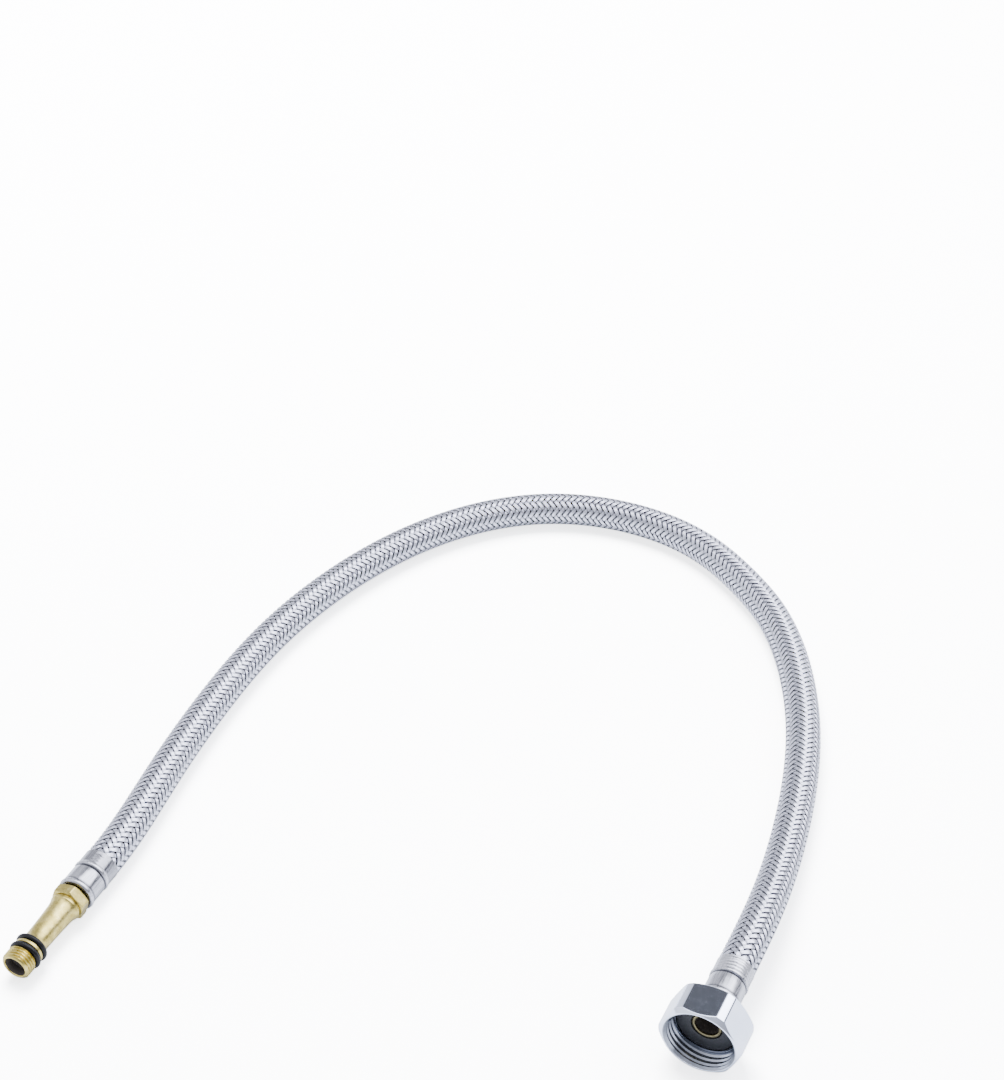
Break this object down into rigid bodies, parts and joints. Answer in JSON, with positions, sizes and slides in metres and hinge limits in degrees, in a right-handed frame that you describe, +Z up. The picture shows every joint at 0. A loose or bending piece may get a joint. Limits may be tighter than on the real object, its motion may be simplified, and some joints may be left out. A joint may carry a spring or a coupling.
{
  "type": "braided supply line",
  "caption": "Flexible stainless-braided water hose with a swivelling hexagon nut at one end and a long threaded brass tail with O-rings at the other.",
  "frame": {"origin": "on the surface the line lies on, below the middle of the box round the two end fittings, which is measured without the hose itself", "axes": "+X from the brass tail to the swivel nut, +Y from the end fittings towards the bend of the U-shaped hose, so both open ends face -Y, and +Z up"},
  "size_m": [0.2289, 0.2974, 0.0248],
  "materials": {
    "turned_brass": "plain turned brass, lightly mottled",
    "chromed_brass": "polished chrome plate",
    "stainless_sleeve": "bright drawn stainless steel",
    "stainless_braid": "woven bright stainless wire",
    "black_rubber": "smooth black rubber",
    "washer_rubber": "matt black rubber",
    "tube_rubber": "matt black rubber"
  },
  "bodies": {
    "hose_and_fittings": {"tail_fitting": "turned_brass", "front_o_ring": "black_rubber", "rear_o_ring": "black_rubber", "tail_ferrule": "stainless_sleeve", "nut_ferrule": "stainless_sleeve", "nut_insert": "turned_brass", "sealing_washer": "washer_rubber", "braid_sleeve": "stainless_braid", "inner_tube": "tube_rubber"},
    "nut": {"swivel_nut": "chromed_brass"}
  },
  "joints": [
    {"name": "nut_swivel", "type": "hinge", "parent": "hose_and_fittings", "child": "nut", "pos_m": [0.09755, 0.01874, 0.0124], "axis": [0, -1, 0], "continuous": true}
  ]
}
